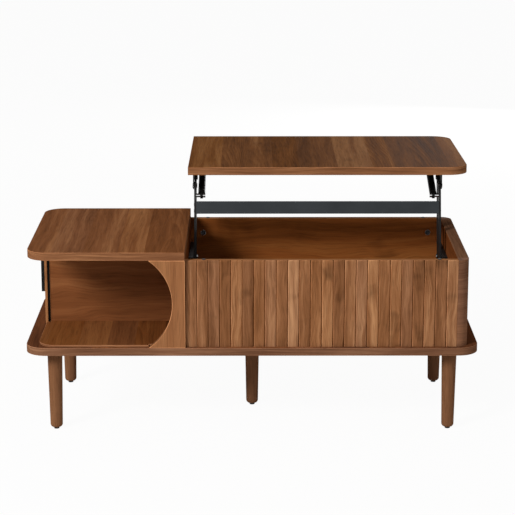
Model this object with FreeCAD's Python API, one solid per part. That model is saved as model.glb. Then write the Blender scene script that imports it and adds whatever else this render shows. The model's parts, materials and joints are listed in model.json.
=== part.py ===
import FreeCAD, Part
import math
import os

# Lift top coffee table, lid raised. Millimetres, +X right, +Y back, +Z up.
# The origin is on the floor under the centre leg, which is the middle of the base board.

Vector = FreeCAD.Vector

# Overall
table_length = 1104.0
table_depth = 500.0
leg_length = 200.0
glide_height = 4.0
box_height = 218.0          # base board to the underside of the tops
board = 18.0                # upright panels
thick_board = 20.0          # base and tops
top_end_inset = 8.0         # tops, in from the ends of the base
corner_radius = 50.0        # plan corners of the base and the tops
edge_ease = 1.2             # rounding along the edges of the boards
play = 0.1                  # radial clearance round a dowel, screw or cam
pin_play = 0.05             # radial clearance of a pivot in its hole
run_gap = 0.3               # between faces that turn or slide past each other

# Legs
leg_inset_x = 67.0
leg_inset_y = 60.0
leg_top_radius = 18.5
leg_foot_radius = 15.0
leg_foot_round = 8.0
glide_radius = 6.5
glide_pin_radius = 2.5
glide_pin_length = 12.0
hanger_radius = 4.0
hanger_in_leg = 30.0
hanger_in_board = 12.0
insert_radius = 6.0
insert_length = 13.0

# Split between the fixed side top and the lid
side_top_length = 382.5
split_gap = 1.5

# Open shelf at the front left
shelf_depth = 229.0         # front edge to the partition
bay_end_inset = 41.0        # left end of the base to the partition's end
liner_thickness = 5.0
liner_front_inset = 8.0
liner_end_inset = 31.5
arch_tip_width = 89.0
arch_middle_width = 31.5

# Storage box under the lid
face_inset = 10.0           # slats and back panel, in from the long edges
side_inset = 27.0           # right side panel, in from the right end of the base
side_thickness = 27.5
rim_gap = 2.0               # box rim below the closed lid
backer_thickness = 12.0
slat_count = 24
slat_depth = 6.0
slat_groove = 1.8
slat_margin = 1.2
slat_chamfer = 1.2
bumper_radius = 4.5
bumper_height = 1.5
bumper_from_corner = 45.0

# Joinery
dowel_radius = 3.0
dowel_short = 10.0
dowel_long = 20.0
dowel_inset = 60.0          # from the end of a panel
confirmat_radius = 2.5
confirmat_head = 4.5
confirmat_length = 50.0
cam_radius = 7.5
cam_depth = 11.0
cam_slot = 2.0              # width and depth of the screwdriver slot
cam_from_wall = 33.0
cam_from_rim = 38.0
cam_dowel_radius = 3.0
cam_dowel_in_wall = 11.0

# Drawer at the left end, behind the partition
facing_thickness = 6.0
facing_lap = 9.0            # facing in front of the partition
facing_reveal = 1.5
drawer_front_thickness = 5.4
drawer_front_gap = 0.6
drawer_side = 12.0
drawer_bottom = 5.0
drawer_back_gap = 14.0
drawer_low = 16.0           # drawer sides above the base board
drawer_high = 30.0          # drawer sides below the tops
runner_channel = 7.0
runner_bar = 5.0
runner_height = 36.0
runner_lip = 2.0
handle_length = 120.0
handle_reach = 23.5
handle_width = 12.0
handle_thickness = 11.0
screw_radius = 2.0
screw_head = 4.0
screw_head_height = 2.0
screw_in_wood = 13.0

# Lift mechanism; distances "out" are measured inward from the box wall
arm_pivot_back = 48.0       # front arm's wall pivot, behind the table's middle
arm_length = 205.0
upper_pivot_below = 44.0    # front arm's upper pivot, below the lid
arm_width = 20.0
plate = 3.0
arm_plate = 5.0
arm_out = 13.6
lid_back = 254.0            # how far the lid moves back as it rises
lid_rise = 156.0
lid_tilt = 1.2              # degrees, back edge low when raised
rear_step = (52.0, 12.0)    # second pivot on the lid bracket from the first, lid closed
rear_hole_play = 0.8        # the second upper pivot is the linkage's loose one
pivot_radius = 4.0
pivot_head = 6.5
pivot_head_height = 2.6
upper_head_height = 1.4
spacer_radius = 6.0
bracket_back = 142.0        # wall bracket behind the front arm's pivot
bracket_front = 33.0
bracket_up = 29.0
bracket_down = 21.0
bracket_shelf = 12.5
upper_washer_thickness = 0.5
lid_bracket_plate = 2.0
lid_bracket_round = 9.5
lid_bracket_flange = 30.0
lid_screw_front = 5.0       # first lid screw behind the front arm's upper pivot
lid_screw_rear = 25.0       # last lid screw ahead of the strut's lid end
crossbar_from_upper = 57.0  # along the front arm from its upper pivot
crossbar_width = 32.0
crossbar_thickness = 4.0
crossbar_tab = 14.0
rivet_radius = 2.5
rivet_head = 4.5
rivet_head_height = 0.6
strut_pin_from_upper = 25.5   # along the front arm from its upper pivot
strut_out = 32.5
strut_radius = 9.0
strut_wall = 2.2
strut_eye_radius = 8.0
strut_eye_width = 7.0
strut_collar = 1.0          # step of the pin's collar
strut_head_height = 6.0     # head on the pin's inner end
strut_tube_start = 9.0
strut_rod_radius = 3.0
strut_rod_out = 28.2          # rod left outside the tube when the lid is closed
strut_piston_length = 8.0
strut_piston_clear = 10.2     # oil space behind the piston when the lid is closed
strut_anchor_behind = 152.3   # lid end of the strut behind the front arm's upper pivot
strut_anchor_below = 12.0     # and below the lid

# Levels and edges that follow
base_bottom = glide_height + leg_length
base_top = base_bottom + thick_board
top_bottom = base_top + box_height
top_top = top_bottom + thick_board
rim = top_bottom - rim_gap
left_end = -table_length / 2
right_end = table_length / 2
top_left_end = left_end + top_end_inset
top_right_end = right_end - top_end_inset
front_edge = -table_depth / 2
back_edge = table_depth / 2
split = top_left_end + side_top_length
divider_left = split - board
box_left = split
box_outer = right_end - side_inset
box_right = box_outer - side_thickness
slat_face = front_edge + face_inset
backer_front = slat_face + slat_depth
box_front = backer_front + backer_thickness
box_rear = back_edge - face_inset
box_back = box_rear - board
partition_front = front_edge + shelf_depth
partition_back = partition_front + board
bay_left = left_end + bay_end_inset
arch_back = front_edge + board
drawer_front_x = bay_left - drawer_front_gap - drawer_front_thickness
facing_x = drawer_front_x - facing_thickness
arm_far = arm_out + arm_plate
lid_bracket_out = arm_out - run_gap - upper_washer_thickness - lid_bracket_plate

# Linkage that follows, in the side view as (Y, Z): the lid's travel is a chord of the arm's circle
travel = math.hypot(lid_back, lid_rise)
travel_angle = math.atan2(lid_rise, lid_back)
half_fold = math.acos(travel / (2 * arm_length))
raised_angle = travel_angle + half_fold
closed_angle = travel_angle + math.pi - half_fold
arm_pivot = (arm_pivot_back, top_bottom - upper_pivot_below - arm_length * math.sin(closed_angle))
crossbar_at = arm_length - crossbar_from_upper
strut_pin_at = arm_length - strut_pin_from_upper


def polar(centre, angle, distance):
    return (centre[0] + distance * math.cos(angle), centre[1] + distance * math.sin(angle))


def tilted(point, degrees, centre):
    turn = math.radians(degrees)
    dy = point[0] - centre[0]
    dz = point[1] - centre[1]
    return (centre[0] + dy * math.cos(turn) - dz * math.sin(turn),
            centre[1] + dy * math.sin(turn) + dz * math.cos(turn))


def when_raised(point):
    """Where a point of the closed lid is when the lid is up."""
    turned = tilted(point, -lid_tilt, upper_closed)
    return (turned[0] + lid_back, turned[1] + lid_rise)


upper_raised = polar(arm_pivot, raised_angle, arm_length)
upper_closed = polar(arm_pivot, closed_angle, arm_length)
rear_upper_closed = (upper_closed[0] + rear_step[0], upper_closed[1] + rear_step[1])
rear_upper_raised = when_raised(rear_upper_closed)
# The rear arm's wall pivot is as far from its upper pivot raised as closed.
chord_y = rear_upper_raised[0] - rear_upper_closed[0]
chord_z = rear_upper_raised[1] - rear_upper_closed[1]
rear_pivot_y = arm_pivot[0] + rear_step[0]
rear_pivot_z = ((rear_upper_raised[1] + rear_upper_closed[1]) / 2
                - (rear_pivot_y - (rear_upper_raised[0] + rear_upper_closed[0]) / 2) * chord_y / chord_z)
rear_pivot = (rear_pivot_y, rear_pivot_z)
strut_pin = polar(arm_pivot, raised_angle, strut_pin_at)
strut_pin_closed = polar(arm_pivot, closed_angle, strut_pin_at)
strut_anchor = (upper_closed[0] + strut_anchor_behind, top_bottom - strut_anchor_below)
strut_anchor_raised = when_raised(strut_anchor)

sides = {"left": (box_left, 1), "right": (box_right, -1)}
parts = {}


def slab(x0, x1, y0, y1, z0, z1):
    return Part.makeBox(x1 - x0, y1 - y0, z1 - z0, Vector(x0, y0, z0))


def upright_rod(x, y, z0, z1, radius):
    return Part.makeCylinder(radius, z1 - z0, Vector(x, y, z0))


def cross_rod(centre, radius, x0, x1):
    return Part.makeCylinder(radius, x1 - x0, Vector(x0, centre[0], centre[1]), Vector(1, 0, 0))


def between(side, near, far):
    """Low and high X of a piece lying between two distances from its box wall."""
    wall, inward = sides[side]
    ends = (wall + inward * near, wall + inward * far)
    return min(ends), max(ends)


def group(shapes):
    return Part.makeCompound(shapes)


def drilled(shape, holes):
    return shape.cut(group(holes)).Solids[0]


def same(one, other):
    return abs(one - other) < 0.001


def at_level(edge, level):
    return same(edge.BoundBox.ZMin, level) and same(edge.BoundBox.ZMax, level)


def eased(shape, levels, radius=edge_ease):
    """Round every edge that lies at one of the levels."""
    edges = [edge for edge in shape.Edges if any(at_level(edge, level) for level in levels)]
    return shape.makeFillet(radius, edges)


def plan_board(x0, x1, y0, y1, z0, z1, left=0.0, right=0.0):
    """Flat board with its left and right corners rounded in plan."""
    shape = slab(x0, x1, y0, y1, z0, z1)
    for x, radius in ((x0, left), (x1, right)):
        if radius > 0:
            posts = [edge for edge in shape.Edges
                     if same(edge.BoundBox.XMin, x) and edge.BoundBox.ZLength > (z1 - z0) / 2]
            shape = shape.makeFillet(radius, posts)
    return eased(shape, (z0, z1))


def link(start, end, width, x0, x1):
    """Flat bar with round ends between two points of the side view."""
    run = math.atan2(end[1] - start[1], end[0] - start[0])
    half = width / 2

    def corner(centre, turn):
        point = polar(centre, run + turn, half)
        return Vector(x0, point[0], point[1])

    side = math.pi / 2
    edges = [Part.LineSegment(corner(start, side), corner(end, side)).toShape(),
             Part.Arc(corner(end, side), corner(end, 0), corner(end, -side)).toShape(),
             Part.LineSegment(corner(end, -side), corner(start, -side)).toShape(),
             Part.Arc(corner(start, -side), corner(start, math.pi), corner(start, side)).toShape()]
    return Part.Face(Part.Wire(edges)).extrude(Vector(x1 - x0, 0, 0))


def side_plate(outline, x0, x1):
    points = [Vector(x0, y, z) for y, z in outline]
    return Part.Face(Part.makePolygon(points + points[:1])).extrude(Vector(x1 - x0, 0, 0))


def hex_prism(centre, radius, x0, x1):
    corners = [polar(centre, math.radians(60 * turn), radius) for turn in range(6)]
    return side_plate(corners, x0, x1)


def flush_screw(head, direction, length, radius, head_radius, clear=0.0):
    """Countersunk screw, its head flush at a point."""
    cone = head_radius - radius
    shank = Part.makeCylinder(radius + clear, length, head, direction)
    sink = Part.makeCone(head_radius + clear, radius + clear, cone, head, direction)
    return shank.fuse(sink).removeSplitter()


def pan_screw(seat, direction, length, clear=0.0):
    """Screw with a flat round head standing on the face at a point."""
    back = seat - direction * screw_head_height
    shank = Part.makeCylinder(screw_radius + clear, length, seat, direction)
    cap = Part.makeCylinder(screw_head, screw_head_height, back, direction)
    return shank.fuse(cap).removeSplitter()


def lift(shape):
    """Carry a piece of the closed lid to its raised place."""
    moved = shape.copy()
    moved.rotate(Vector(0, upper_closed[0], upper_closed[1]), Vector(1, 0, 0), -lid_tilt)
    moved.translate(Vector(0, lid_back, lid_rise))
    return moved


# Legs, glides and the bolts that hold them
leg_x = table_length / 2 - leg_inset_x
leg_y = table_depth / 2 - leg_inset_y
leg_places = {"leg_front_left": (-leg_x, -leg_y), "leg_front_right": (leg_x, -leg_y),
              "leg_rear_left": (-leg_x, leg_y), "leg_rear_right": (leg_x, leg_y),
              "leg_centre": (0.0, 0.0)}


def glide(x, y, clear=0.0):
    pad = upright_rod(x, y, 0, glide_height, glide_radius)
    pin = upright_rod(x, y, 0, glide_height + glide_pin_length, glide_pin_radius + clear)
    return pad.fuse(pin).removeSplitter()


def hanger_bolt(x, y, clear=0.0):
    return upright_rod(x, y, base_bottom - hanger_in_leg, base_bottom + hanger_in_board,
                       hanger_radius + clear)


def insert(x, y):
    collar = upright_rod(x, y, base_bottom, base_bottom + insert_length, insert_radius)
    return collar.cut(hanger_bolt(x, y, play))


def leg(x, y):
    cone = Part.makeCone(leg_foot_radius, leg_top_radius, leg_length, Vector(x, y, glide_height))
    foot = cone.makeFillet(leg_foot_round, [edge for edge in cone.Edges if at_level(edge, glide_height)])
    return drilled(foot, [glide(x, y, play), hanger_bolt(x, y, play)])


for name, (x, y) in leg_places.items():
    parts[name] = leg(x, y)
parts["foot_glides"] = group([glide(x, y) for x, y in leg_places.values()])
parts["leg_bolts"] = group([hanger_bolt(x, y) for x, y in leg_places.values()])
parts["leg_inserts"] = group([insert(x, y) for x, y in leg_places.values()])


# Dowels, screws and cams of the carcass
panel_mid = board / 2
divider_x = divider_left + panel_mid
partition_y = partition_front + panel_mid
rear_y = box_rear - panel_mid
side_mid_x = box_right + side_thickness / 2
backer_y = backer_front + backer_thickness / 2
post_x = box_right + side_thickness / 3
bay_low = bay_left + dowel_inset
bay_high = divider_left - dowel_inset
box_low = box_left + dowel_inset
box_high = box_right - dowel_inset
box_mid = (box_left + box_right) / 2
arch_y = front_edge + panel_mid
arch_x = split - arch_middle_width / 2
shared_dowels = [(divider_x, arch_back + dowel_inset), (divider_x, rear_y - dowel_inset),
                 (bay_low, partition_y), (bay_high, partition_y),
                 (bay_low, rear_y), (bay_high, rear_y), (arch_x, arch_y),
                 (arch_x - arch_middle_width, arch_y)]
base_dowels = [(box_low, rear_y), (box_high, rear_y), (side_mid_x, -leg_y / 2), (side_mid_x, leg_y / 2),
               (box_low, backer_y), (box_mid, backer_y), (box_high, backer_y),
               (post_x, slat_face + board), (post_x, box_rear - board)]
confirmat_places = [(divider_x, -leg_y / 2), (divider_x, leg_y / 2), (box_mid, rear_y),
                    ((bay_low + bay_high) / 2, partition_y), ((bay_low + bay_high) / 2, rear_y),
                    (side_mid_x, 0.0)]


def dowel(x, y, z0, z1, clear=0.0):
    return upright_rod(x, y, z0 - clear, z1 + clear, dowel_radius + clear)


def all_dowels(clear=0.0):
    low = [dowel(x, y, base_top - dowel_short, base_top + dowel_long, clear)
           for x, y in shared_dowels + base_dowels]
    high = [dowel(x, y, top_bottom - dowel_long, top_bottom + dowel_short, clear)
            for x, y in shared_dowels]
    return low + high


def confirmats(clear=0.0):
    return [flush_screw(Vector(x, y, base_bottom), Vector(0, 0, 1), confirmat_length,
                        confirmat_radius, confirmat_head, clear) for x, y in confirmat_places]


cam_levels = (rim - cam_from_rim, base_top + cam_from_rim)


def cams(clear=0.0):
    """Cam discs let into the inner face of the back panel."""
    return [Part.makeCylinder(cam_radius + clear, cam_depth, Vector(x, box_back, z), Vector(0, 1, 0))
            for x in (box_left + cam_from_wall, box_right - cam_from_wall) for z in cam_levels]


def cam_dowels(clear=0.0):
    rods = []
    for side in sides:
        x0, x1 = between(side, -cam_dowel_in_wall - clear, cam_from_wall - cam_radius)
        rods += [cross_rod((box_back + cam_depth / 2, z), cam_dowel_radius + clear, x0, x1)
                 for z in cam_levels]
    return rods


def cam_disc(disc):
    """A cam with the screwdriver recess that shows on its face."""
    centre = disc.BoundBox.Center
    slot = slab(centre.x - cam_radius / 2, centre.x + cam_radius / 2, box_back, box_back + cam_slot,
                centre.z - cam_slot / 2, centre.z + cam_slot / 2)
    return disc.cut(slot)


carcass_holes = all_dowels(play) + confirmats(play) + cams(play) + cam_dowels(play)
parts["wood_dowels"] = group(all_dowels())
parts["assembly_screws"] = group(confirmats())
parts["cam_locks"] = group([cam_disc(disc) for disc in cams()])
parts["cam_dowels"] = group(cam_dowels())


# Wall brackets of the lift mechanism
def bracket_screw_places():
    front = arm_pivot[0] - bracket_front / 2
    back = arm_pivot[0] + bracket_back
    return [(front, arm_pivot[1] - bracket_down / 2), (front, arm_pivot[1] + bracket_up / 2),
            (back - bracket_front / 2, arm_pivot[1] - bracket_down / 2),
            (back - bracket_front / 2, arm_pivot[1] + bracket_up / 2)]


def bracket_screws(clear=0.0):
    screws = []
    for side, (wall, inward) in sides.items():
        into_wall = Vector(-inward, 0, 0)
        screws += [pan_screw(Vector(wall + inward * plate, y, z), into_wall, plate + screw_in_wood, clear)
                   for y, z in bracket_screw_places()]
    return screws


def wall_bracket(side):
    """Plate on the box wall with a shelf folded inward along its top."""
    y0 = arm_pivot[0] - bracket_front
    y1 = arm_pivot[0] + bracket_back
    z0 = arm_pivot[1] - bracket_down
    z1 = arm_pivot[1] + bracket_up
    x0, x1 = between(side, 0, plate)
    upright = slab(x0, x1, y0, y1, z0, z1)
    x0, x1 = between(side, 0, bracket_shelf)
    shelf = slab(x0, x1, y0, y1, z1 - plate, z1)
    body = upright.fuse(shelf).removeSplitter()
    x0, x1 = between(side, 0, plate)
    studs = [cross_rod(pivot, pivot_radius + play, x0, x1) for pivot in (arm_pivot, rear_pivot)]
    return drilled(body, studs + bracket_screws(play))


# Boards
def base_board():
    slab_board = plan_board(left_end, right_end, front_edge, back_edge, base_bottom, base_top,
                            corner_radius, corner_radius)
    inserts = [upright_rod(x, y, base_bottom, base_bottom + insert_length, insert_radius)
               for x, y in leg_places.values()]
    return drilled(slab_board, inserts + carcass_holes)


def arch_panel():
    """Upright panel at the front whose left edge is cut to an arc."""
    def corner(x, z):
        return Vector(x, front_edge, z)

    tip = split - arch_tip_width
    middle = split - arch_middle_width
    half_up = (base_top + top_bottom) / 2
    edges = [Part.LineSegment(corner(tip, base_top), corner(split, base_top)).toShape(),
             Part.LineSegment(corner(split, base_top), corner(split, top_bottom)).toShape(),
             Part.LineSegment(corner(split, top_bottom), corner(tip, top_bottom)).toShape(),
             Part.Arc(corner(tip, top_bottom), corner(middle, half_up), corner(tip, base_top)).toShape()]
    return Part.Face(Part.Wire(edges)).extrude(Vector(0, board, 0))


def shelf_liner():
    """Thin floor of the open shelf, notched where the drawer facing passes."""
    x0 = left_end + liner_end_inset
    y0 = front_edge + liner_front_inset
    z1 = base_top + liner_thickness
    floor = slab(x0, divider_left, y0, partition_front, base_top, z1)
    corner = [edge for edge in floor.Edges
              if same(edge.BoundBox.XMax, x0) and same(edge.BoundBox.YMax, y0)]
    floor = floor.makeFillet(corner_radius - liner_front_inset, corner)
    arch = slab(split - arch_tip_width - run_gap, divider_left, front_edge, arch_back, base_top, z1)
    notch = slab(x0, bay_left, partition_front - facing_lap - run_gap, partition_front, base_top, z1)
    return floor.cut(arch).cut(notch)


def corner_post(end_y, centre_y):
    """Quarter-round column that turns the corner of the storage box."""
    quarter = upright_rod(box_right, centre_y, base_top, rim, side_thickness)
    keep = slab(box_right, box_outer, min(end_y, centre_y), max(end_y, centre_y), base_top, rim)
    return quarter.common(keep)


def slat(index):
    pitch = (box_right - split - slat_margin + slat_groove) / slat_count
    x0 = split + slat_margin + index * pitch
    bar = slab(x0, x0 + pitch - slat_groove, slat_face, backer_front, base_top, rim)
    proud = [edge for edge in bar.Edges
             if same(edge.BoundBox.YMax, slat_face) and not at_level(edge, base_top)]
    return bar.makeChamfer(slat_chamfer, proud)


post_front_centre = slat_face + side_thickness
post_rear_centre = box_rear - side_thickness
carcass = {
    "side_top": plan_board(top_left_end, split - split_gap / 2, front_edge, back_edge, top_bottom, top_top,
                           left=corner_radius),
    "divider_panel": slab(divider_left, split, arch_back, box_rear, base_top, top_bottom),
    "shelf_partition": slab(bay_left, divider_left, partition_front, partition_back,
                            base_top, top_bottom),
    "drawer_bay_back": slab(bay_left, divider_left, box_back, box_rear, base_top, top_bottom),
    "arch_panel": arch_panel(),
    "slat_backer": slab(split, box_right, backer_front, box_front, base_top, rim),
    "box_back_panel": slab(split, box_right, box_back, box_rear, base_top, rim),
    "box_side_panel": slab(box_right, box_outer, post_front_centre, post_rear_centre, base_top, rim),
    "corner_post_front": corner_post(slat_face, post_front_centre),
    "corner_post_rear": corner_post(box_rear, post_rear_centre),
}
wall_holes = carcass_holes + bracket_screws(play)
parts["base_board"] = base_board()
for name, shape in carcass.items():
    parts[name] = drilled(shape, wall_holes)
parts["shelf_liner"] = shelf_liner()
parts["front_slats"] = group([slat(index) for index in range(slat_count)])
parts["wall_bracket_left"] = wall_bracket("left")
parts["wall_bracket_right"] = wall_bracket("right")
parts["bracket_screws"] = group(bracket_screws())
parts["lid_bumpers"] = group([upright_rod(x, y, rim, rim + bumper_height, bumper_radius)
                              for x in (box_left + bumper_from_corner, box_right - bumper_from_corner)
                              for y in (backer_y, rear_y)])


# Wall pivots: a stud with a head, and a spacer that holds the arm off the wall
def wall_pivot(side, pivot):
    x0, x1 = between(side, 0, arm_far + run_gap)
    stud = cross_rod(pivot, pivot_radius, x0, x1)
    x0, x1 = between(side, arm_far + run_gap, arm_far + run_gap + pivot_head_height)
    return stud.fuse(cross_rod(pivot, pivot_head, x0, x1)).removeSplitter()


def wall_spacer(side, pivot):
    x0, x1 = between(side, plate, arm_out - run_gap)
    return cross_rod(pivot, spacer_radius, x0, x1).cut(cross_rod(pivot, pivot_radius + pin_play, x0, x1))


pivot_pairs = [(side, pivot) for side in sides for pivot in (arm_pivot, rear_pivot)]
parts["wall_pivot_studs"] = group([wall_pivot(side, pivot) for side, pivot in pivot_pairs])
parts["wall_spacers"] = group([wall_spacer(side, pivot) for side, pivot in pivot_pairs])


# Arms and crossbar
def arm_spot(along, across):
    """Point beside the front arm: distance along it, then across it towards the back."""
    return polar(polar(arm_pivot, raised_angle, along), raised_angle - math.pi / 2, across)


def rivet_points():
    return [arm_spot(crossbar_at + step, 0.0) for step in (-crossbar_width / 4, crossbar_width / 4)]


def front_arm(side):
    x0, x1 = between(side, arm_out, arm_far)
    holes = [cross_rod(arm_pivot, pivot_radius + pin_play, x0, x1),
             cross_rod(upper_raised, pivot_radius + pin_play, x0, x1),
             cross_rod(strut_pin, pivot_radius, x0, x1)]
    holes += [cross_rod(point, rivet_radius, x0, x1) for point in rivet_points()]
    return drilled(link(arm_pivot, upper_raised, arm_width, x0, x1), holes)


def rear_arm(side):
    x0, x1 = between(side, arm_out, arm_far)
    holes = [cross_rod(rear_pivot, pivot_radius + pin_play, x0, x1),
             cross_rod(rear_upper_raised, pivot_radius + rear_hole_play, x0, x1)]
    return drilled(link(rear_pivot, rear_upper_raised, arm_width, x0, x1), holes)


def bar_outline(low, high):
    """Rectangle in the side view across the front arm, as long as the crossbar is wide."""
    start = crossbar_at - crossbar_width / 2
    end = crossbar_at + crossbar_width / 2
    return [arm_spot(start, low), arm_spot(end, low), arm_spot(end, high), arm_spot(start, high)]


def crossbar():
    near = arm_far
    edge = -arm_width / 2
    bar = side_plate(bar_outline(edge, edge + crossbar_thickness), box_left + near, box_right - near)
    for side in sides:
        x0, x1 = between(side, near, near + plate)
        bar = bar.fuse(side_plate(bar_outline(edge, edge + crossbar_thickness + crossbar_tab), x0, x1))
    bar = bar.removeSplitter()
    holes = []
    for side in sides:
        x0, x1 = between(side, near, near + plate)
        holes += [cross_rod(point, rivet_radius, x0, x1) for point in rivet_points()]
    return drilled(bar, holes)


def rivet(side, point):
    x0, x1 = between(side, arm_out, arm_far + plate)
    shank = cross_rod(point, rivet_radius, x0, x1)
    x0, x1 = between(side, arm_out - rivet_head_height, arm_out)
    return shank.fuse(cross_rod(point, rivet_head, x0, x1)).removeSplitter()


for side in sides:
    parts["front_arm_" + side] = front_arm(side)
    parts["rear_arm_" + side] = rear_arm(side)
parts["crossbar"] = crossbar()
parts["crossbar_rivets"] = group([rivet(side, point) for side in sides for point in rivet_points()])


# Lid, lid brackets and upper pivots, made closed and then lifted
def lid_screw_places():
    first = upper_closed[0] + lid_screw_front
    last = strut_anchor[0] - lid_screw_rear
    return [first, (first + last) / 2, last]


def lid_screws(clear=0.0):
    screws = []
    for side, (wall, inward) in sides.items():
        x = wall + inward * (lid_bracket_out + lid_bracket_flange - 2 * screw_head)
        screws += [pan_screw(Vector(x, y, top_bottom - lid_bracket_plate), Vector(0, 0, 1),
                             lid_bracket_plate + screw_in_wood, clear)
                   for y in lid_screw_places()]
    return screws


def lid_bracket(side):
    """Hanging plate with two arm pivots and the strut anchor, and a flange under the lid."""
    x0, x1 = between(side, lid_bracket_out, lid_bracket_out + lid_bracket_plate)
    reach = lid_bracket_round
    low = upper_closed[0] - reach
    high = strut_anchor[0] + reach
    web = side_plate([(low, top_bottom), (high, top_bottom), (high, strut_anchor[1]),
                      rear_upper_closed, upper_closed, (low, upper_closed[1])], x0, x1)
    web = web.fuse(link(upper_closed, rear_upper_closed, 2 * reach, x0, x1))
    web = web.fuse(link(rear_upper_closed, strut_anchor, 2 * reach, x0, x1))
    f0, f1 = between(side, lid_bracket_out, lid_bracket_out + lid_bracket_flange)
    body = web.fuse(slab(f0, f1, low, high, top_bottom - lid_bracket_plate, top_bottom)).removeSplitter()
    holes = [cross_rod(point, pivot_radius, x0, x1)
             for point in (upper_closed, rear_upper_closed, strut_anchor)]
    return lift(drilled(body, holes + lid_screws(play)))


def upper_pivot(side, point):
    x0, x1 = between(side, lid_bracket_out, arm_far + run_gap)
    bolt = cross_rod(point, pivot_radius, x0, x1)
    x0, x1 = between(side, lid_bracket_out - upper_head_height, lid_bracket_out)
    return lift(bolt.fuse(hex_prism(point, pivot_head, x0, x1)).removeSplitter())


def upper_nut(side, point):
    x0, x1 = between(side, arm_far + run_gap, arm_far + run_gap + pivot_head_height)
    return lift(hex_prism(point, pivot_head, x0, x1))


def upper_washer(side, point):
    x0, x1 = between(side, lid_bracket_out + lid_bracket_plate, arm_out - run_gap)
    ring = cross_rod(point, spacer_radius, x0, x1).cut(cross_rod(point, pivot_radius, x0, x1))
    return lift(ring)


def strut_stud(side):
    x0, x1 = between(side, lid_bracket_out, strut_out - strut_eye_width / 2 - run_gap)
    return lift(cross_rod(strut_anchor, pivot_radius, x0, x1))


upper_pairs = [(side, point) for side in sides for point in (upper_closed, rear_upper_closed)]
lid = plan_board(split + split_gap / 2, top_right_end, front_edge, back_edge, top_bottom, top_top,
                 right=corner_radius)
parts["lid_board"] = lift(drilled(lid, lid_screws(play)))
parts["lid_bracket_left"] = lid_bracket("left")
parts["lid_bracket_right"] = lid_bracket("right")
parts["lid_screws"] = group([lift(screw) for screw in lid_screws()])
parts["upper_pivot_bolts"] = group([upper_pivot(side, point) for side, point in upper_pairs])
parts["upper_pivot_nuts"] = group([upper_nut(side, point) for side, point in upper_pairs])
parts["upper_washers"] = group([upper_washer(side, point) for side, point in upper_pairs])
parts["strut_studs"] = group([strut_stud(side) for side in sides])


# Gas struts from a pin on the front arm to the stud on the lid bracket
strut_run = Vector(0, strut_anchor_raised[0] - strut_pin[0], strut_anchor_raised[1] - strut_pin[1])
strut_length = strut_run.Length
strut_closed = math.hypot(strut_anchor[0] - strut_pin_closed[0], strut_anchor[1] - strut_pin_closed[1])
strut_tube_end = strut_closed - strut_rod_out
strut_bore_start = strut_tube_start + strut_eye_radius
strut_rod_length = strut_closed - strut_bore_start - strut_piston_clear
strut_way = strut_run / strut_length


def strut_point(side, distance):
    wall, inward = sides[side]
    return Vector(wall + inward * strut_out, strut_pin[0], strut_pin[1]) + strut_way * distance


def strut_eye(side, point):
    x0, x1 = between(side, strut_out - strut_eye_width / 2, strut_out + strut_eye_width / 2)
    return cross_rod((point.y, point.z), strut_eye_radius, x0, x1)


def strut_cylinder(side):
    start = strut_point(side, strut_tube_start)
    tube = Part.makeCylinder(strut_radius, strut_tube_end - strut_tube_start, start, strut_way)
    tube = tube.fuse(strut_eye(side, strut_point(side, 0)))
    bottom = strut_point(side, strut_bore_start)
    bore_length = strut_tube_end - strut_bore_start - 2 * strut_wall
    bore = Part.makeCylinder(strut_radius - strut_wall, bore_length, bottom, strut_way)
    rod_way = Part.makeCylinder(strut_rod_radius + play, strut_closed, bottom, strut_way)
    x0, x1 = between(side, arm_out, strut_out + strut_eye_radius)
    hole = cross_rod(strut_pin, pivot_radius + pin_play, x0, x1)
    return tube.cut(bore).cut(rod_way).cut(hole)


def strut_rod(side):
    end = strut_point(side, strut_length)
    start = strut_point(side, strut_length - strut_rod_length)
    rod = Part.makeCylinder(strut_rod_radius, strut_rod_length, start, strut_way)
    piston = Part.makeCylinder(strut_radius - strut_wall - play, strut_piston_length, start, strut_way)
    return rod.fuse(strut_eye(side, end)).fuse(piston).removeSplitter()


def strut_pin_piece(side):
    """Pin pressed into the front arm, with a collar and a round head on its inner end."""
    eye_low = strut_out - strut_eye_width / 2 - run_gap
    eye_high = strut_out + strut_eye_width / 2 + run_gap
    x0, x1 = between(side, arm_out, eye_high)
    pin = cross_rod(strut_pin, pivot_radius, x0, x1)
    x0, x1 = between(side, arm_far, eye_low)
    pin = pin.fuse(cross_rod(strut_pin, pivot_radius + strut_collar, x0, x1))
    x0, x1 = between(side, eye_high, eye_high + strut_head_height)
    return pin.fuse(cross_rod(strut_pin, pivot_head - strut_collar, x0, x1)).removeSplitter()


parts["strut_cylinders"] = group([strut_cylinder(side) for side in sides])
parts["strut_rods"] = group([strut_rod(side) for side in sides])
parts["strut_pins"] = group([strut_pin_piece(side) for side in sides])


# Drawer at the left end
bay_mid_y = (partition_back + box_back) / 2
runner_gap = runner_channel + runner_bar
box_y0 = partition_back + runner_gap
box_y1 = box_back - runner_gap
side_z0 = base_top + drawer_low
side_z1 = top_bottom - drawer_high
drawer_x0 = bay_left - drawer_front_gap
drawer_x1 = divider_left - drawer_back_gap
floor_z0 = side_z0 + drawer_bottom
mid_z = (base_top + top_bottom) / 2


def handle_screws(clear=0.0):
    """Screws from inside the drawer through its front into the handle's feet."""
    start = drawer_x0
    reach = drawer_x0 - facing_x + handle_thickness
    return [flush_screw(Vector(start, bay_mid_y, z), Vector(-1, 0, 0), reach, screw_radius,
                        screw_head, clear)
            for z in (mid_z - handle_length / 2 + handle_thickness / 2,
                      mid_z + handle_length / 2 - handle_thickness / 2)]


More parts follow.
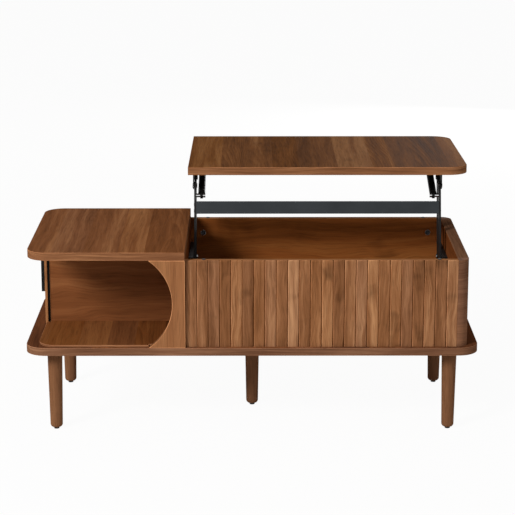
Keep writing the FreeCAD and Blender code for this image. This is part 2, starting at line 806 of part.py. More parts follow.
def handle():
    y0 = bay_mid_y - handle_width / 2
    y1 = bay_mid_y + handle_width / 2
    z0 = mid_z - handle_length / 2
    z1 = mid_z + handle_length / 2
    bow = slab(facing_x - handle_reach, facing_x, y0, y1, z0, z1)
    grip = slab(facing_x - handle_reach + handle_thickness, facing_x, y0, y1,
                z0 + handle_thickness, z1 - handle_thickness)
    return drilled(bow.cut(grip), handle_screws(play))


def runner_pair(make):
    front = make(partition_back, 1)
    rear = make(box_back, -1)
    return group([front, rear])


def runner_outer(wall, inward):
    """Channel on the bay's wall, open towards the drawer."""
    back = wall + inward * runner_lip
    mouth = wall + inward * runner_channel
    body = slab(drawer_x0 + run_gap, drawer_x1, min(wall, mouth), max(wall, mouth),
                mid_z - runner_height / 2, mid_z + runner_height / 2)
    groove = slab(drawer_x0, drawer_x1 + run_gap, min(back, mouth), max(back, mouth),
                  mid_z - runner_height / 2 + runner_lip, mid_z + runner_height / 2 - runner_lip)
    return body.cut(groove)


def runner_inner(wall, inward):
    """Bar on the drawer's side, running in the channel."""
    near = wall + inward * (runner_lip + run_gap)
    far = wall + inward * runner_gap
    return slab(drawer_x0 + run_gap, drawer_x1, min(near, far), max(near, far),
                mid_z - runner_height / 2 + runner_lip + run_gap,
                mid_z + runner_height / 2 - runner_lip - run_gap)


parts["drawer_facing"] = drilled(
    slab(facing_x, drawer_front_x, partition_front - facing_lap, box_rear - facing_reveal,
         base_top + facing_reveal, top_bottom - facing_reveal), handle_screws(play))
parts["drawer_front"] = drilled(
    slab(drawer_front_x, drawer_x0, partition_front, box_rear - facing_reveal,
         base_top + liner_thickness + run_gap, top_bottom - facing_reveal), handle_screws(play))
parts["drawer_side_front"] = slab(drawer_x0, drawer_x1, box_y0, box_y0 + drawer_side, side_z0, side_z1)
parts["drawer_side_rear"] = slab(drawer_x0, drawer_x1, box_y1 - drawer_side, box_y1, side_z0, side_z1)
parts["drawer_back"] = slab(drawer_x1 - drawer_side, drawer_x1, box_y0 + drawer_side,
                            box_y1 - drawer_side, side_z0, side_z1)
parts["drawer_bottom"] = slab(drawer_x0, drawer_x1 - drawer_side, box_y0 + drawer_side,
                              box_y1 - drawer_side, floor_z0, floor_z0 + drawer_bottom)
parts["drawer_handle"] = handle()
parts["handle_screws"] = group(handle_screws())
parts["runner_channels"] = runner_pair(runner_outer)
parts["runner_bars"] = runner_pair(runner_inner)

os.makedirs("parts", exist_ok=True)
for name, shape in parts.items():
    shape.exportStep("parts/" + name + ".step")

# What the joints need
def bearing(start, end):
    return math.degrees(math.atan2(end[1] - start[1], end[0] - start[0]))


fold = math.degrees(closed_angle - raised_angle)
rear_fold = bearing(rear_pivot, rear_upper_closed) - bearing(rear_pivot, rear_upper_raised)
strut_turn = bearing(strut_pin_closed, strut_anchor) - bearing(strut_pin, strut_anchor_raised)
print("nodes", len(parts), "table height", top_top)
print("arm pivot", arm_pivot, "folds", fold, "upper pivot", upper_raised)
print("rear pivot", rear_pivot, "folds", rear_fold)
print("strut pin", strut_pin, "turns", strut_turn)
print("strut length", strut_length, "closed", strut_closed, "way", tuple(strut_way))
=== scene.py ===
import json
import math

import bmesh
import bpy
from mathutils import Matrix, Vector


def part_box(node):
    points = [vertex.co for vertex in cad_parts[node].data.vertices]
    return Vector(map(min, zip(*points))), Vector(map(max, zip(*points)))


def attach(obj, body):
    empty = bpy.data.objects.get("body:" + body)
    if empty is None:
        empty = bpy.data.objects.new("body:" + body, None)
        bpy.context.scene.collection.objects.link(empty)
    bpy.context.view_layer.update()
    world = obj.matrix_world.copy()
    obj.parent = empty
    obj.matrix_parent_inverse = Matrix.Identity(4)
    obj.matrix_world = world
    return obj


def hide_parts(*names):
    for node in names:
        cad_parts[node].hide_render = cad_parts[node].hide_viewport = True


# Lift top coffee table in walnut veneer, lid raised. Metres, +X right, +Y back, +Z up.

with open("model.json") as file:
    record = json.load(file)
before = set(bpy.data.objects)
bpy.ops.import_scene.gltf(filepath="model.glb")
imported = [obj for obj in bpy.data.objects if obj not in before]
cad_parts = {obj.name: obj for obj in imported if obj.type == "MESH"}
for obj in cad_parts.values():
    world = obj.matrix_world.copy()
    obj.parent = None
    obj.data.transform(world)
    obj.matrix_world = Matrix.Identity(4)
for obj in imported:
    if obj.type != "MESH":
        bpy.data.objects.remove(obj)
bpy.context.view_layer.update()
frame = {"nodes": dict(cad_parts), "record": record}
record = frame["record"]
bodyOf = {node: body for body, nodes in record["behaviour"]["bodies"].items() for node in nodes}
mm = 0.001
print("frame loaded:", len(frame["nodes"]), "nodes")


def linearColor(code):  # sRGB hex to the linear values that sockets take
    channels = [int(code[i:i + 2], 16) / 255 for i in (0, 2, 4)]
    return [c / 12.92 if c <= 0.04045 else ((c + 0.055) / 1.055) ** 2.4 for c in channels] + [1.0]


def addNode(tree, kind, settings=None, links=None, stops=()):
    node = tree.nodes.new(kind)
    for name, value in (settings or {}).items():
        setattr(node, name, value)
    for socket, value in (links or {}).items():
        if isinstance(value, bpy.types.Node):
            value = value.outputs[0]
        if isinstance(value, bpy.types.NodeSocket):
            tree.links.new(value, node.inputs[socket])
        else:
            node.inputs[socket].default_value = value
    for index, (place, code) in enumerate(stops):  # a colour ramp starts with two stops
        elements = node.color_ramp.elements
        stop = elements[index] if index < 2 else elements.new(place)
        stop.position = place
        stop.color = linearColor(code)
    return node


# settings that many nodes share
add, subtract, multiply, multiplyAdd, less, greater = (
    {"operation": name} for name in
    ("ADD", "SUBTRACT", "MULTIPLY", "MULTIPLY_ADD", "LESS_THAN", "GREATER_THAN"))


def newMaterial(name):
    material = bpy.data.materials.new(name)
    material.use_nodes = True
    material.node_tree.nodes.clear()
    return material, material.node_tree


def newPiece(name, mesh):
    piece = bpy.data.objects.new(name, mesh)
    bpy.context.scene.collection.objects.link(piece)
    return piece


def turnTowards(thing, place, aim):
    thing.location = place
    thing.rotation_euler = (Vector(aim) - Vector(place)).to_track_quat("-Z", "Y").to_euler()


def evaluatedMesh(piece):
    depsgraph = bpy.context.evaluated_depsgraph_get()
    return bpy.data.meshes.new_from_object(piece.evaluated_get(depsgraph),
                                           preserve_all_data_layers=True,
                                           depsgraph=depsgraph)


camera = {"place": (0.0, -4.692, 1.544), "aim": (0.014, 0.0, 0.3886), "lens": 133.34,
          "farthest": 50.0}

cameraData = bpy.data.cameras.new("studioCamera")
cameraData.lens = camera["lens"]
cameraData.clip_end = camera["farthest"]
cameraObject = newPiece("studioCamera", cameraData)
turnTowards(cameraObject, camera["place"], camera["aim"])
bpy.context.scene.camera = cameraObject
bpy.context.scene.view_settings.view_transform = "Standard"

studio = {
    "key": {"place": (-3.9, -4.5, 3.75), "size": 2.1, "watts": 415.0},
    "fill": {"place": (3.4, -3.2, 1.2), "size": 2.0, "watts": 20.0},
    "rear": {"place": (1.2, 4.6, 0.8), "size": 1.0, "watts": 60.0},
    "aim": (0.0, 0.0, 0.35),
    "ambient": 0.34,
    "floorSize": 26.0,
    "floorColor": "DCDAD7",
    "whiteShare": 0.955,     # white laid over the floor for the eye, the rest keeps the shadow
}

for lampName in ("key", "fill", "rear"):
    lamp = studio[lampName]
    lampData = bpy.data.lights.new(lampName + "Light", "AREA")
    lampData.shape = "DISK"
    lampData.size = lamp["size"]
    lampData.energy = lamp["watts"]
    lampObject = newPiece(lampName + "Light", lampData)
    turnTowards(lampObject, lamp["place"], studio["aim"])


def seenByEye(tree):
    # 1 for what the camera sees, straight, in a mirror or through glass, and 0 for other light
    rays = addNode(tree, "ShaderNodeLightPath")
    seen = rays.outputs["Is Camera Ray"]
    for ray in ("Is Glossy Ray", "Is Transmission Ray"):
        seen = addNode(tree, "ShaderNodeMath", {"operation": "MAXIMUM"},
                       {0: seen, 1: rays.outputs[ray]})
    return seen


white = (1.0, 1.0, 1.0, 1.0)
world = bpy.data.worlds.new("studioWorld")
bpy.context.scene.world = world
world.use_nodes = True
worldTree = world.node_tree
worldTree.nodes.clear()
seen = seenByEye(worldTree)
softLight = addNode(worldTree, "ShaderNodeBackground",
                    links={"Color": white, "Strength": studio["ambient"]})
backdrop = addNode(worldTree, "ShaderNodeBackground", links={"Color": white, "Strength": 1.0})
chosen = addNode(worldTree, "ShaderNodeMixShader", links={0: seen, 1: softLight, 2: backdrop})
addNode(worldTree, "ShaderNodeOutputWorld", links={"Surface": chosen})

floorMaterial, floorTree = newMaterial("paintedFloor")  # matt white studio floor
share = addNode(floorTree, "ShaderNodeMath", multiply,
                {0: seenByEye(floorTree), 1: studio["whiteShare"]})
paint = addNode(floorTree, "ShaderNodeBsdfDiffuse",
                links={"Color": linearColor(studio["floorColor"])})
glow = addNode(floorTree, "ShaderNodeEmission", links={"Color": white, "Strength": 1.0})
floorSurface = addNode(floorTree, "ShaderNodeMixShader", links={0: share, 1: paint, 2: glow})
addNode(floorTree, "ShaderNodeOutputMaterial", links={"Surface": floorSurface})
half = studio["floorSize"] / 2
floorMesh = bpy.data.meshes.new("studioFloor")
floorMesh.from_pydata([(-half, -half, 0), (half, -half, 0), (half, half, 0), (-half, half, 0)],
                      [], [(0, 1, 2, 3)])
floorMesh.materials.append(floorMaterial)
newPiece("studioFloor", floorMesh)
print("camera, floor and light ready")


# Flat-cut American walnut, oiled and rubbed matt: brown with straight to arched figure, dark
# pores along the grain and next to no mirror. Every veneered part takes this look and changes
# what differs on it.

walnutLook = {
    "axes": "XYZ",             # across the grain, along it, through the leaf
    "stretch": (1.0, 0.035, 1.0),  # the pattern is drawn out along the grain
    "seed": 0.0,
    "leaf": 0.075,             # width of a veneer leaf, 0 for one leaf
    "heart": 0.0,              # across: middle of the figure where there is one leaf
    "leafContrast": 0.34,
    "leafHue": 0.06,           # how much richer one leaf is than another
    "leafVary": 0.75,          # how unequal the leaves are in width
    "leafSlip": 0.06,          # how far the arches slip sideways from leaf to leaf
    "leafStart": 5.0,          # and how many rings they slip along
    "stickShift": 9.0,         # how far apart in the log two sticks can be cut
    "wave": 0.035,             # how far the grain wanders sideways
    "sway": 0.45,              # and over what length
    "swayAcross": 8.0,         # changes of the wander per metre across
    "ringBend": 1300.0,        # arches: rings per square metre across
    "ringRun": 6.0,            # and per metre along
    "ringContrast": 0.35,
    "ringTones": ((0.0, "D0D0D0"), (1.0, "C0C0C0"),  # across a ring: pale, then dark late wood
                  (0.70, "808080"), (0.86, "303030")),
    "figured": (0.35, 0.75),   # chance at which a leaf starts to show arches, and shows them whole
    "leastFigure": 0.15,       # and what a plain leaf still shows of them
    "streak": 0.011,           # width of the widest streaks
    "streakContrast": 1.1,
    "cloud": 0.11,             # size of the slow change in tone
    "cloudContrast": 0.7,
    "pore": 0.0012,            # real pores are 0.2 mm wide, drawn coarser so that they show
    "poreEdge": (0.52, 0.66),  # noise at which a pore starts, and is fully dark
    "poreDepth": 0.2,
    "knotScale": 1.2,          # dark knots, few and soft, on the scale of the wander
    "knotStretch": (1.0, 1.5, 1.0),
    "knotEdge": (0.6, 0.75),   # noise at which a knot starts, and is fully dark
    "knotDepth": 0.3,
    "wear": 0.35,              # painted highlight: how much paler the eased edges are drawn, where the part has them
    "base": 0.5,               # tone that the contrasts lie around
    "dark": "452612", "middle": "794B2D", "light": "A6734B",
    "rough": 0.62,
    "roughVary": 0.16,
    "mirror": 0.03,
    "ior": 1.5,
    "relief": 0.25,
    "reliefDepth": 0.25 * mm,
}


def walnut(name, **changes):
    look = {**walnutLook, **changes}
    material, tree = newMaterial(name)
    place = addNode(tree, "ShaderNodeTexCoord")
    axes = addNode(tree, "ShaderNodeSeparateXYZ", links={0: place.outputs["Object"]})
    across, along, through = (axes.outputs["XYZ".index(letter)] for letter in look["axes"])
    # cutFrom says where in the log each stick was cut
    cut = addNode(tree, "ShaderNodeAttribute", {"attribute_name": "cutFrom"})
    depth = addNode(tree, "ShaderNodeMath", multiplyAdd,
                    {0: cut.outputs["Fac"], 1: look["stickShift"], 2: look["seed"]})
    shift = addNode(tree, "ShaderNodeCombineXYZ",
                    links={0: look["seed"], 1: look["seed"], 2: depth})
    turned = addNode(tree, "ShaderNodeCombineXYZ", links={0: across, 1: along, 2: through})
    grain = addNode(tree, "ShaderNodeVectorMath", multiplyAdd,
                    {0: turned, 1: look["stretch"], 2: shift})
    bends = addNode(tree, "ShaderNodeVectorMath", multiplyAdd,
                    {0: turned, 1: (look["swayAcross"], 1 / look["sway"], look["swayAcross"]),
                     2: shift})
    drift = addNode(tree, "ShaderNodeTexNoise",
                    links={"Vector": bends, "Scale": 1.0, "Detail": 2.0})
    wander = addNode(tree, "ShaderNodeMath", multiplyAdd,
                     {0: drift, 1: look["wave"], 2: -look["wave"] / 2})
    bent = addNode(tree, "ShaderNodeMath", add, {0: across, 1: wander})
    bentShift = addNode(tree, "ShaderNodeCombineXYZ", links={0: wander})
    bentGrain = addNode(tree, "ShaderNodeVectorMath", add, {0: grain, 1: bentShift})

    # leaves side by side, each with its own tone and its own place in the figure
    if look["leaf"] > 0:
        row = addNode(tree, "ShaderNodeMath", add, {0: across, 1: look["seed"]})
        leaves = addNode(tree, "ShaderNodeTexVoronoi", {"voronoi_dimensions": "1D"},
                         {"W": row, "Scale": 1 / look["leaf"], "Randomness": look["leafVary"]})
        chance = addNode(tree, "ShaderNodeSeparateColor", links={0: leaves.outputs["Color"]})
        leafTone = chance.outputs[0]
        middle = addNode(tree, "ShaderNodeMath", subtract,
                         {0: leaves.outputs["W"], 1: look["seed"]})
    else:
        dice = addNode(tree, "ShaderNodeTexWhiteNoise", {"noise_dimensions": "1D"}, {"W": depth})
        chance = addNode(tree, "ShaderNodeSeparateColor", links={0: dice.outputs["Color"]})
        leafTone = cut.outputs["Fac"]
        # heart is a stick's own middle
        heart = addNode(tree, "ShaderNodeAttribute", {"attribute_name": "heart"})
        middle = addNode(tree, "ShaderNodeMath", add, {0: heart.outputs["Fac"], 1: look["heart"]})
    leafShift, leafStart = chance.outputs[1], chance.outputs[2]
    fromHeart = addNode(tree, "ShaderNodeMath", subtract, {0: bent, 1: middle})
    fromHeart = addNode(tree, "ShaderNodeMath", multiplyAdd,
                        {0: leafShift, 1: look["leafSlip"], 2: fromHeart})
    bow = addNode(tree, "ShaderNodeMath", multiply, {0: fromHeart, 1: fromHeart})
    rise = addNode(tree, "ShaderNodeMath", multiplyAdd,
                   {0: leafStart, 1: look["leafStart"], 2: drift})
    rise = addNode(tree, "ShaderNodeMath", multiplyAdd, {0: along, 1: look["ringRun"], 2: rise})
    ring = addNode(tree, "ShaderNodeMath", multiplyAdd, {0: bow, 1: look["ringBend"], 2: rise})
    ring = addNode(tree, "ShaderNodeMath", {"operation": "FRACT"}, {0: ring})
    ring = addNode(tree, "ShaderNodeValToRGB", links={0: ring}, stops=look["ringTones"])
    figured = addNode(tree, "ShaderNodeMapRange",
                      links={0: leafShift, 1: look["figured"][0], 2: look["figured"][1],
                             3: look["leastFigure"], 4: 1.0})
    ring = addNode(tree, "ShaderNodeMath", subtract, {0: ring, 1: 0.5})
    ring = addNode(tree, "ShaderNodeMath", multiplyAdd, {0: ring, 1: figured, 2: 0.5})

    # one cell of noise is a light and a dark streak, or a pore and the wood beside it
    streaks = addNode(tree, "ShaderNodeTexNoise",
                      links={"Vector": bentGrain, "Scale": 0.5 / look["streak"], "Detail": 5.0,
                             "Roughness": 0.66})
    clouds = addNode(tree, "ShaderNodeTexNoise",
                     links={"Vector": grain, "Scale": 1 / look["cloud"], "Detail": 2.0})
    pores = addNode(tree, "ShaderNodeTexNoise",
                    links={"Vector": bentGrain, "Scale": 0.5 / look["pore"], "Detail": 1.0})
    pores = addNode(tree, "ShaderNodeMapRange",
                    links={0: pores, 1: look["poreEdge"][0], 2: look["poreEdge"][1],
                           3: 0.0, 4: 1.0})
    knots = addNode(tree, "ShaderNodeVectorMath", multiplyAdd,
                    {0: bends, 1: look["knotStretch"], 2: shift})
    knots = addNode(tree, "ShaderNodeTexNoise",
                    links={"Vector": knots, "Scale": look["knotScale"], "Detail": 3.0,
                           "Roughness": 0.6})
    knots = addNode(tree, "ShaderNodeMapRange",
                    links={0: knots, 1: look["knotEdge"][0], 2: look["knotEdge"][1],
                           3: 0.0, 4: 1.0})

    # the marked eased edges and chamfers are drawn paler: a painted highlight
    worn = addNode(tree, "ShaderNodeAttribute", {"attribute_name": "worn"})
    contrasts = ((leafTone, "leafContrast"), (ring, "ringContrast"), (streaks, "streakContrast"),
                 (clouds, "cloudContrast"))
    tone = look["base"] - sum(look[key] for pattern, key in contrasts) / 2
    for pattern, key in contrasts:
        tone = addNode(tree, "ShaderNodeMath", multiplyAdd, {0: pattern, 1: look[key], 2: tone})
    color = addNode(tree, "ShaderNodeValToRGB", links={0: tone},
                    stops=((0.0, look["dark"]), (1.0, look["light"]), (0.5, look["middle"])))
    warmth = addNode(tree, "ShaderNodeMath", multiplyAdd,
                     {0: leafStart, 1: look["leafHue"], 2: 1.0 - look["leafHue"] / 2})
    color = addNode(tree, "ShaderNodeHueSaturation", links={"Saturation": warmth, "Color": color})
    paintedHighlight = addNode(tree, "ShaderNodeMath", multiplyAdd,
                     {0: worn.outputs["Fac"], 1: look["wear"], 2: 1.0})
    shade = addNode(tree, "ShaderNodeMath", multiplyAdd, {0: pores, 1: -look["poreDepth"], 2: 1.0})
    shade = addNode(tree, "ShaderNodeMath", multiplyAdd,
                    {0: knots, 1: -look["knotDepth"], 2: shade})
    shade = addNode(tree, "ShaderNodeMath", multiply, {0: shade, 1: paintedHighlight})
    color = addNode(tree, "ShaderNodeVectorMath", {"operation": "SCALE"},
                    {0: color, "Scale": shade})
    gloss = addNode(tree, "ShaderNodeMath", multiplyAdd,
                    {0: streaks, 1: look["roughVary"], 2: look["rough"] - look["roughVary"] / 2})
    relief = addNode(tree, "ShaderNodeMath", multiplyAdd, {0: pores, 1: -1.0, 2: streaks})
    bump = addNode(tree, "ShaderNodeBump",
                   links={"Strength": look["relief"], "Distance": look["reliefDepth"],
                          "Height": relief})
    surface = addNode(tree, "ShaderNodeBsdfPrincipled",
                      links={"Base Color": color, "Roughness": gloss, "Normal": bump,
                             "IOR": look["ior"], "Specular IOR Level": look["mirror"]})
    addNode(tree, "ShaderNodeOutputMaterial", links={"Surface": surface})
    return material


def finish(name, look):
    # painted, plated, moulded or raw: grit in the surface and slow patches of tone
    material, tree = newMaterial(name)
    place = addNode(tree, "ShaderNodeTexCoord")
    grit = addNode(tree, "ShaderNodeTexNoise",
                   links={"Vector": place.outputs["Object"], "Scale": 1 / (look["grit"] * mm),
                          "Detail": 2.0})
    patches = addNode(tree, "ShaderNodeTexNoise",
                      links={"Vector": place.outputs["Object"], "Scale": 1 / (look["patch"] * mm),
                             "Detail": 3.0})
    color = addNode(tree, "ShaderNodeValToRGB", links={0: patches},
                    stops=((0.3, look["color"]), (0.7, look["worn"])))
    gloss = addNode(tree, "ShaderNodeMath", multiplyAdd,
                    {0: patches, 1: look["roughVary"], 2: look["rough"] - look["roughVary"] / 2})
    bump = addNode(tree, "ShaderNodeBump",
                   links={"Strength": look["relief"], "Distance": look["grit"] * mm / 4,
                          "Height": grit})
    surface = addNode(tree, "ShaderNodeBsdfPrincipled",
                      links={"Base Color": color, "Roughness": gloss, "Normal": bump,
                             "Metallic": look["metallic"],
                             "Specular IOR Level": look.get("mirror", 0.5)})
    addNode(tree, "ShaderNodeOutputMaterial", links={"Surface": surface})
    return material


powderCoatedSteel = finish("powderCoatedSteel", {  # black powder coat: fine orange peel, half matt
    "color": "141313", "worn": "1B1A1A", "metallic": 0.0, "rough": 0.42, "roughVary": 0.12,
    "grit": 0.9, "patch": 30.0, "relief": 0.25, "mirror": 0.12})
satinGreySteel = finish("satinGreySteel", {  # blue-grey satin enamel, reflects the room softly
    "color": "262A2D", "worn": "2E3235", "metallic": 0.0, "rough": 0.42, "roughVary": 0.1,
    "grit": 1.2, "patch": 60.0, "relief": 0.15, "mirror": 0.2})
zincPlatedSteel = finish("zincPlatedSteel", {  # bright zinc: cool grey with a slight bloom
    "color": "C9C9C6", "worn": "B7B8BA", "metallic": 1.0, "rough": 0.28, "roughVary": 0.14,
    "grit": 0.5, "patch": 6.0, "relief": 0.12})
burnishedCam = finish("burnishedCam", {  # die-cast zinc cam, darkened and tumbled
    "color": "4A4D51", "worn": "686C71", "metallic": 1.0, "rough": 0.38, "roughVary": 0.16,
    "grit": 0.6, "patch": 4.0, "relief": 0.2})
chromedSteel = finish("chromedSteel", {  # ground and chromed piston rod, nearly a mirror
    "color": "DEDFE0", "worn": "D2D3D5", "metallic": 1.0, "rough": 0.12, "roughVary": 0.05,
    "grit": 0.4, "patch": 12.0, "relief": 0.04})
blackLacquer = finish("blackLacquer", {  # sprayed nitrocellulose black, low sheen; on the drawer front's edges, painted shade
    "color": "0E0D0D", "worn": "141312", "metallic": 0.0, "rough": 0.5, "roughVary": 0.08,
    "grit": 0.8, "patch": 40.0, "relief": 0.1, "mirror": 0.12})
mouldedPlastic = finish("mouldedPlastic", {  # black polypropylene, spark-eroded matt skin
    "color": "121212", "worn": "1A1A1A", "metallic": 0.0, "rough": 0.55, "roughVary": 0.1,
    "grit": 0.5, "patch": 10.0, "relief": 0.3, "mirror": 0.2})
nitrileRubber = finish("nitrileRubber", {  # cut rubber bumper: dull, slightly dusty
    "color": "1B1A19", "worn": "262523", "metallic": 0.0, "rough": 0.78, "roughVary": 0.1,
    "grit": 0.7, "patch": 5.0, "relief": 0.35})
sawnBeech = finish("sawnBeech", {  # fluted beech dowel, raw and pale
    "color": "C9A27A", "worn": "B78F66", "metallic": 0.0, "rough": 0.75, "roughVary": 0.08,
    "grit": 0.6, "patch": 9.0, "relief": 0.3})
print("metal, plastic and rubber ready")


xAxis, yAxis, zAxis = range(3)
dressing = {
    "weld": 0.002 * mm,
    "flat": 0.4,               # degrees: faces nearer to one plane than this become one
    "sharp": 35.0,             # degrees: a sharper edge stays crisp, or is eased
    "longEdge": 4 * mm,        # shorter edges aren't eased
    "faceShare": 0.98,         # how square to the axis a face is to count as the broad face
    "roundShare": 0.85,        # the same on a board that comes with rounded edges
    "flatShare": 0.2,          # and below this it is the flat of the edge, not its round
    "panelEase": 0.5 * mm,     # width of the eased edge, here and on the next three
    "archEase": 1.2 * mm,
    "linerEase": 1.0 * mm,
    "metalEase": 0.35 * mm,
    "linerCorner": 0.5 * mm,   # the liner's own longEdge: its round corner is eased too
}


def pieceName(node):  # side_top gives sideTop
    first, *others = node.split("_")
    return first + "".join(word.title() for word in others)


def dressed(node, material, edgeMaterial=None, faceAxis=zAxis, bevel=0.0, outerMaterial=None,
            longEdge=dressing["longEdge"]):
    # a copy of the part with welded, cleaned faces, eased edges and its own finish; the edge finish
    # goes on what doesn't look along the axis, the outer finish on the face that looks up it
    shape = bmesh.new()
    shape.from_mesh(frame["nodes"][node].data)
    bmesh.ops.remove_doubles(shape, verts=shape.verts, dist=dressing["weld"])
    bmesh.ops.dissolve_limit(shape, angle_limit=math.radians(dressing["flat"]), verts=shape.verts,
                             edges=shape.edges)
    worn = shape.faces.layers.float.new("worn")
    if bevel > 0:
        crisp = [edge for edge in shape.edges
                 if edge.is_manifold and edge.calc_length() > longEdge
                 and edge.calc_face_angle_signed() > math.radians(dressing["sharp"])]
        eased = bmesh.ops.bevel(shape, geom=crisp, offset=bevel, segments=2, profile=0.5,
                                affect="EDGES", clamp_overlap=True)
        # the eased edges are marked to be drawn paler, a painted highlight
        for face in eased["faces"]:
            face[worn] = 1.0
    broad = dressing["faceShare"] if bevel else dressing["roundShare"]
    for face in shape.faces:
        face.smooth = True
        lean = abs(face.normal[faceAxis])
        face.material_index = 1 if edgeMaterial and lean < broad else 0
        # where the board comes rounded, its round is marked for the same painted highlight
        if face.material_index and bevel == 0 and lean > dressing["flatShare"]:
            face[worn] = 1.0
        if outerMaterial and face.normal[faceAxis] > dressing["faceShare"]:
            face.material_index = 2
    for edge in shape.edges:
        edge.smooth = edge.is_manifold and edge.calc_face_angle() < math.radians(dressing["sharp"])
    mesh = bpy.data.meshes.new(pieceName(node))
    shape.to_mesh(mesh)
    shape.free()
    for leftover in ("custom_normal", "UVMap"):
        if leftover in mesh.attributes:
            mesh.attributes.remove(mesh.attributes[leftover])
    for coat in filter(None, (material, edgeMaterial, outerMaterial)):
        mesh.materials.append(coat)
    piece = newPiece(pieceName(node), mesh)
    weighted = piece.modifiers.new("flatFaces", "WEIGHTED_NORMAL")
    weighted.keep_sharp = True
    piece.data = evaluatedMesh(piece)
    piece.modifiers.clear()
    standIn(piece, node)


def standIn(piece, *nodes):
    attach(piece, bodyOf[nodes[0]])
    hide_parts(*nodes)


# The tops, the lid and the base take darker colours than the upright slats and arch, and the base's
# edge tape darker than the tops' edges: partly the wood's own tone, partly painted shade.
topVeneer = walnut("topVeneer", seed=3.1, mirror=0.001)
lidVeneer = walnut("lidVeneer", seed=13.2, mirror=0.001,
                   dark="3A2112", middle="714727", light="9E7048")
baseVeneer = walnut("baseVeneer", seed=23.4, mirror=0.0,
                    dark="42261A", middle="6E4228", light="965F3C")
# veneer tape along the boards' edges, drawn paler where it turns: a painted highlight
band = {"axes": "ZXY", "stretch": (1.0, 0.03, 0.03), "leaf": 0.0, "ringContrast": 0.0,
        "leafContrast": 0.0, "streak": 0.003, "streakContrast": 1.5, "cloudContrast": 0.6,
        "wear": 0.8, "mirror": 0.0, "knotDepth": 0.0}
bandBrown = {"dark": "573420", "middle": "83573A", "light": "AB7B52"}
baseBand = walnut("baseBand", **band, seed=15.5, dark="4C2F1F", middle="75513C", light="9D7559")
edgeBand = walnut("edgeBand", **band, **bandBrown, seed=5.5)
lidBand = walnut("lidBand", **band, seed=7.9, dark="57331F", middle="825638", light="AB7952")
dressed("side_top", topVeneer, edgeBand)
dressed("lid_board", lidVeneer, lidBand)
dressed("base_board", baseVeneer, baseBand)
print("tops and base dressed")


# close, straight grain on the panels' edges
panelEdge = {"stretch": (1.0, 0.03, 0.03), "leaf": 0.0, "leafContrast": 0.0, "ringContrast": 0.0,
             "streak": 0.0025, "cloudContrast": 0.3, "mirror": 0.0}
paleBrown = {"dark": "694025", "middle": "986742", "light": "A6734B"}
uprightEdge = walnut("uprightEdge", **panelEdge, **paleBrown, axes="YXZ", seed=8.8)
crossEdge = walnut("crossEdge", **panelEdge, axes="XYZ", seed=9.6,
                   dark="4A3022", middle="704E39", light="8C664A")
partitionVeneer = walnut("partitionVeneer", axes="ZXY", leaf=0.0, leafContrast=0.0, heart=0.30,
                         ringBend=900.0, ringRun=5.0, ringContrast=0.6, wave=0.09, sway=0.3,
                         seed=14.2, dark="583016", middle="7D4A28", light="97643C")
# the cut that panels of one kind share
backCut = {"axes": "ZXY", "leaf": 0.0, "leafContrast": 0.0, "heart": 0.33, "ringBend": 700.0,
           "ringRun": 4.0, "seed": 17.9}
backVeneer = walnut("backVeneer", **backCut, wave=0.09, sway=0.3, ringContrast=0.5,
                    dark="4F2A0F", middle="82481F", light="9C6332")
outerVeneer = walnut("outerVeneer", **backCut, wave=0.06, sway=0.4)
archCut = {"axes": "XZY", "leaf": 0.0, "leafContrast": 0.0,
           "dark": "77492B", "middle": "91613E", "light": "A2724B"}
archVeneer = walnut("archVeneer", **archCut, heart=-0.17, ringContrast=0.2, seed=2.6)
# the arch's cut edge is drawn paler still: a painted highlight along the arc
archEdge = walnut("archEdge", **archCut, ringContrast=0.0, wear=1.1, mirror=0.0, seed=3.6)
sideCut = {"axes": "ZYX", "stretch": (1.0, 0.03, 0.03), "leaf": 0.045, "ringContrast": 0.0,
           "streak": 0.005}
sideVeneer = walnut("sideVeneer", **sideCut, leafContrast=0.35, seed=31.0, mirror=0.002,
                    dark="593826", middle="7C5640", light="94694C")
innerSide = walnut("innerSide", **sideCut, leafContrast=0.3, seed=27.0, mirror=0.0,
                   dark="54290F", middle="77401A", light="905526")
floorVeneer = walnut("floorVeneer", leafContrast=0.9, seed=41.3, mirror=0.0,
                     dark="452410", middle="724323", light="8A5730")
linerBand = walnut("linerBand", **band, **bandBrown, seed=4.4)

panels = {  # broad face, edges, axis the face looks along, and the outside where it differs
    "shelf_partition": (partitionVeneer, uprightEdge, yAxis),
    "drawer_bay_back": (backVeneer, uprightEdge, yAxis, outerVeneer),
    "box_back_panel": (backVeneer, uprightEdge, yAxis, outerVeneer),
    "slat_backer": (backVeneer, uprightEdge, yAxis),
    "divider_panel": (innerSide, crossEdge, xAxis),
    "box_side_panel": (innerSide, crossEdge, xAxis, sideVeneer),
}
for node, (face, edge, axis, *outer) in panels.items():
    dressed(node, face, edge, axis, dressing["panelEase"], *outer)
dressed("arch_panel", archVeneer, archEdge, yAxis, dressing["archEase"])
dressed("shelf_liner", floorVeneer, linerBand, zAxis, dressing["linerEase"],
        longEdge=dressing["linerCorner"])
for node in ("corner_post_front", "corner_post_rear"):
    dressed(node, sideVeneer)
print("panels dressed")


# Geometry Nodes: what repeats is grown from one shape
crispAngle = math.radians(32)  # edges sharper than this aren't smoothed


def newTree(name, sizes):
    tree = bpy.data.node_groups.new(name, "GeometryNodeTree")
    tree.interface.new_socket("Geometry", in_out="INPUT", socket_type="NodeSocketGeometry")
    sockets = {float: "NodeSocketFloat", int: "NodeSocketInt", tuple: "NodeSocketVector",
               bpy.types.Material: "NodeSocketMaterial"}
    for label, value in sizes.items():
        socket = tree.interface.new_socket(label, in_out="INPUT", socket_type=sockets[type(value)])
        socket.default_value = value
    tree.interface.new_socket("Geometry", in_out="OUTPUT", socket_type="NodeSocketGeometry")
    return tree, addNode(tree, "NodeGroupInput").outputs


